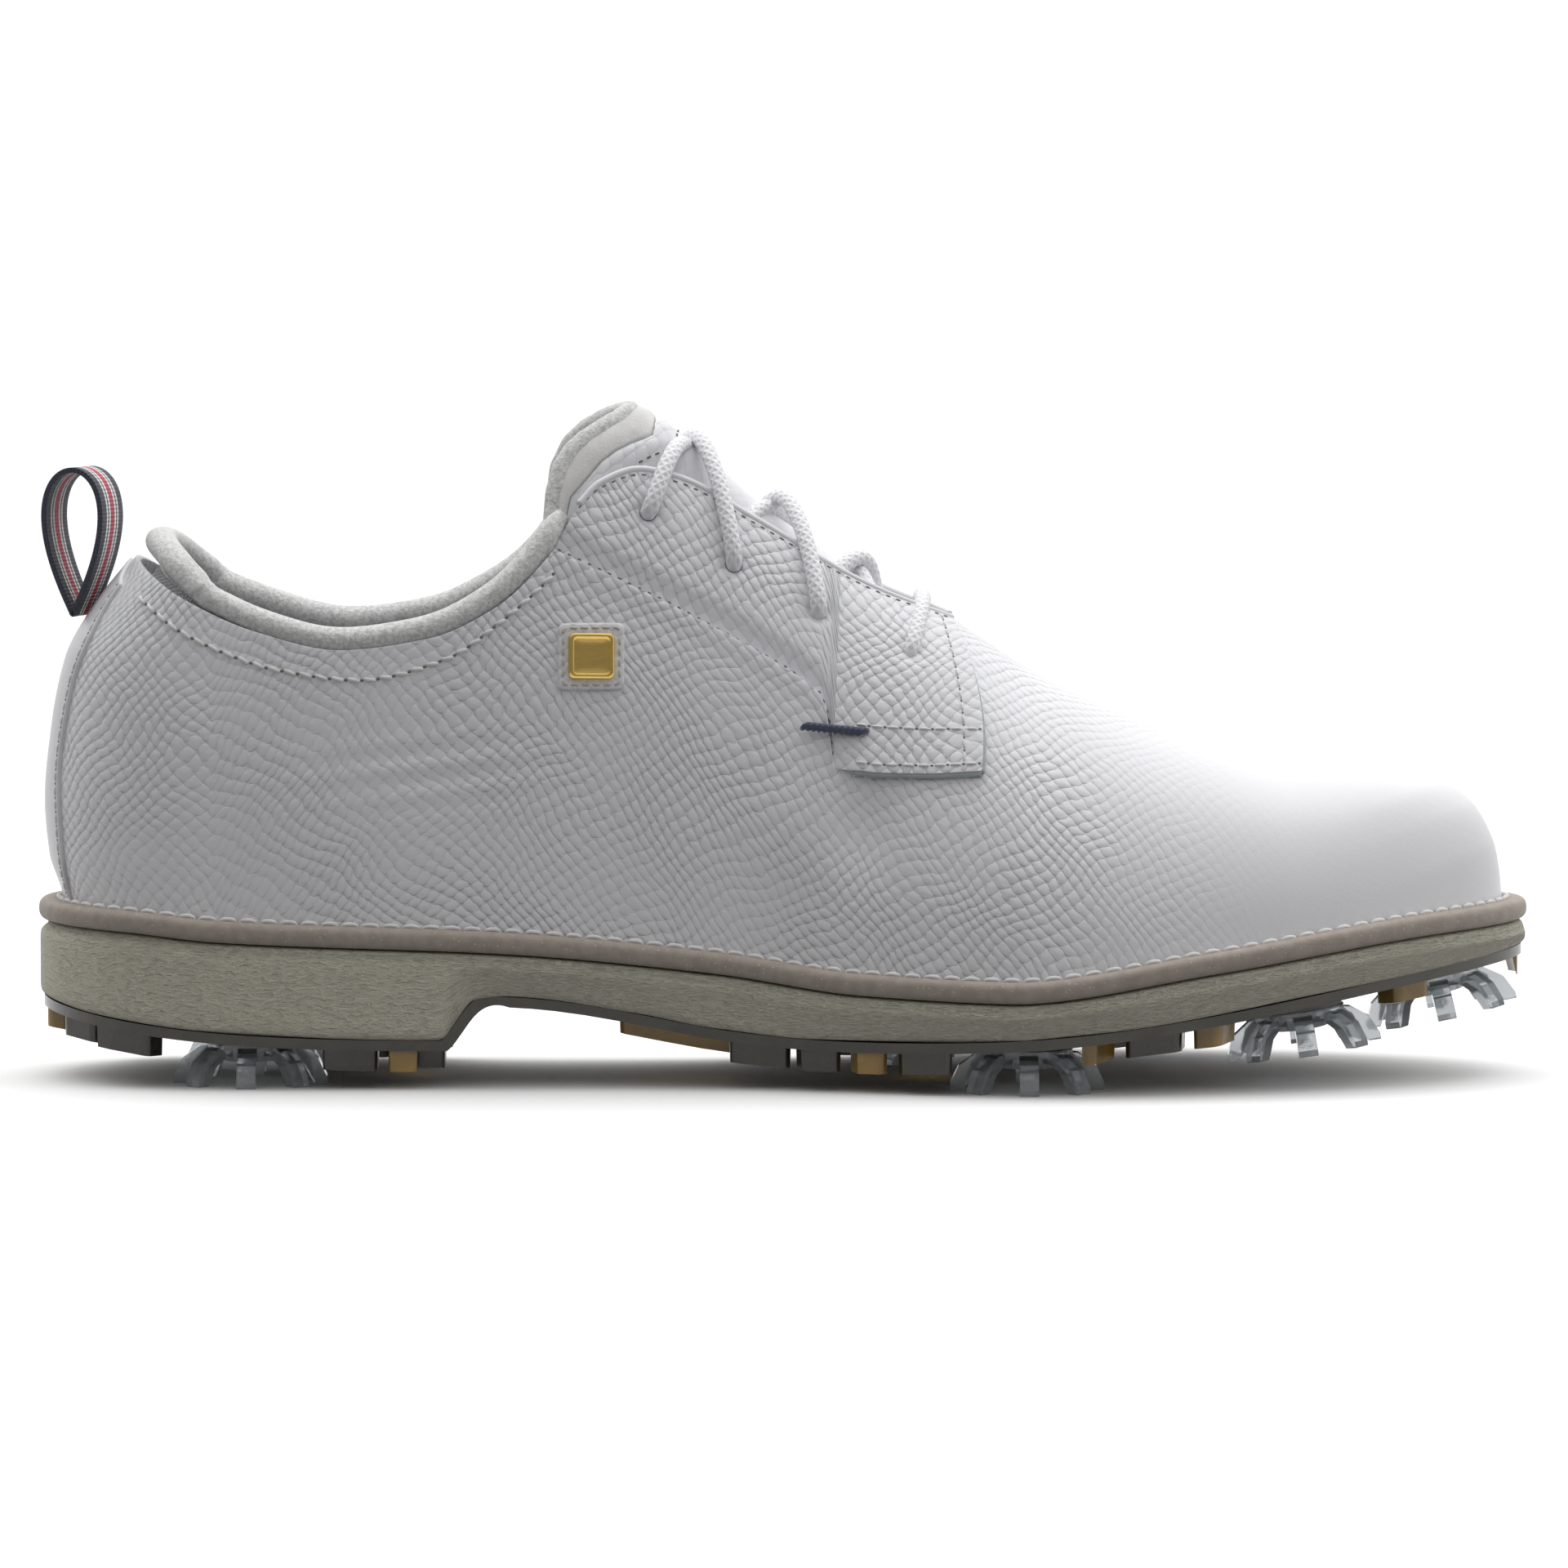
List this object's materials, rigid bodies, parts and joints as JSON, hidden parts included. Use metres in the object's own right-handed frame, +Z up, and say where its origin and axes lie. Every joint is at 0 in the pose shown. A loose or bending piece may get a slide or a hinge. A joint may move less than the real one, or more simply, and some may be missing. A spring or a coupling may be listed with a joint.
{
  "type": "golf shoe",
  "caption": "Low-cut lace-up golf shoe for the right foot, with a pebbled leather upper, a welted sole, a heel pull loop and twist-lock soft cleats.",
  "frame": {"origin": "on the ground, under the middle of the sole", "axes": "+X heel to toe, +Y inner (medial) side of the right foot, +Z up"},
  "size_m": [0.2864, 0.0971, 0.1286],
  "materials": {
    "upper_leather": "pebbled, semi-gloss",
    "smooth_leather": "smooth",
    "suede": "napped",
    "foam": "open-cell foam",
    "lining_mesh": "ribbed knit",
    "collar_knit": "knit",
    "stiffener": "thermoplastic board",
    "board": "pressed fibre board",
    "shank_steel": "plain",
    "sockliner_foam": "knit cover on foam",
    "lace_cord": "round braid",
    "lace_tip": "clear film",
    "webbing": "striped webbing",
    "badge_metal": "brushed gold",
    "navy_thread": "thread",
    "welt_rubber": "speckled, satin",
    "midsole_foam": "wrinkled, matte",
    "outsole_tpu": "dark translucent",
    "gold_tpu": "gold translucent",
    "receptacle_nylon": "moulded nylon",
    "cleat_clear": "clear smoky plastic"
  },
  "bodies": {
    "root": {"vamp_and_quarters": "upper_leather", "eyestay_lateral": "upper_leather", "eyestay_medial": "upper_leather", "heel_strip": "smooth_leather", "heel_counter": "stiffener", "toe_puff": "stiffener", "lining": "lining_mesh", "collar_foam": "foam", "collar_roll": "collar_knit", "lace": "lace_cord", "lace_tips": "lace_tip", "badge_patch": "smooth_leather", "badge": "badge_metal", "bartack_lateral": "navy_thread", "bartack_medial": "navy_thread", "welt": "welt_rubber", "midsole": "midsole_foam", "shank": "shank_steel", "insole_board": "board", "sockliner": "sockliner_foam", "outsole": "outsole_tpu", "lugs_dark": "outsole_tpu", "lugs_gold": "gold_tpu", "receptacle_heel_lateral": "receptacle_nylon", "receptacle_heel_medial": "receptacle_nylon", "receptacle_ball_lateral": "receptacle_nylon", "receptacle_ball_medial": "receptacle_nylon", "receptacle_fore_lateral": "receptacle_nylon", "receptacle_fore_medial": "receptacle_nylon", "receptacle_toe": "receptacle_nylon"},
    "tongue": {"tongue_leather": "smooth_leather", "tongue_top": "suede", "tongue_foam": "foam", "tongue_lining": "lining_mesh"},
    "pull_loop": {"pull_loop": "webbing"},
    "cleat_heel_lateral": {"cleat_heel_lateral": "cleat_clear"},
    "cleat_heel_medial": {"cleat_heel_medial": "cleat_clear"},
    "cleat_ball_lateral": {"cleat_ball_lateral": "cleat_clear"},
    "cleat_ball_medial": {"cleat_ball_medial": "cleat_clear"},
    "cleat_fore_lateral": {"cleat_fore_lateral": "cleat_clear"},
    "cleat_fore_medial": {"cleat_fore_medial": "cleat_clear"},
    "cleat_toe": {"cleat_toe": "cleat_clear"}
  },
  "joints": [
    {"name": "cleat_heel_lateral_twist", "type": "hinge", "parent": "root", "child": "cleat_heel_lateral", "pos_m": [-0.1017, -0.0166, 0], "axis": [0, 0, 1], "range_deg": [0, 60]},
    {"name": "cleat_heel_medial_twist", "type": "hinge", "parent": "root", "child": "cleat_heel_medial", "pos_m": [-0.1017, 0.0156, 0], "axis": [0, 0, 1], "range_deg": [0, 60]},
    {"name": "cleat_ball_lateral_twist", "type": "hinge", "parent": "root", "child": "cleat_ball_lateral", "pos_m": [0.046, -0.03, 0], "axis": [0, 0, 1], "range_deg": [0, 60]},
    {"name": "cleat_ball_medial_twist", "type": "hinge", "parent": "root", "child": "cleat_ball_medial", "pos_m": [0.03, 0.024, 0], "axis": [0, 0, 1], "range_deg": [0, 60]},
    {"name": "cleat_fore_lateral_twist", "type": "hinge", "parent": "root", "child": "cleat_fore_lateral", "pos_m": [0.099, -0.0205, 0.0066], "axis": [-0.1478, 0, 0.989], "range_deg": [0, 60]},
    {"name": "cleat_fore_medial_twist", "type": "hinge", "parent": "root", "child": "cleat_fore_medial", "pos_m": [0.084, 0.026, 0.0048], "axis": [-0.1478, 0, 0.989], "range_deg": [0, 60]},
    {"name": "cleat_toe_twist", "type": "hinge", "parent": "root", "child": "cleat_toe", "pos_m": [0.127, 0.004, 0.0112], "axis": [-0.2079, 0, 0.9781], "range_deg": [0, 60]},
    {"name": "tongue_hinge", "type": "hinge", "parent": "root", "child": "tongue", "pos_m": [0.035, 0, 0.0775], "axis": [0, -1, 0], "range_deg": [0, 10], "stiffness_Nm_per_rad": 0.4},
    {"name": "pull_loop_hinge", "type": "hinge", "parent": "root", "child": "pull_loop", "pos_m": [-0.1346, 0, 0.0886], "axis": [0, -1, 0], "range_deg": [0, 100], "stiffness_Nm_per_rad": 0.01}
  ]
}
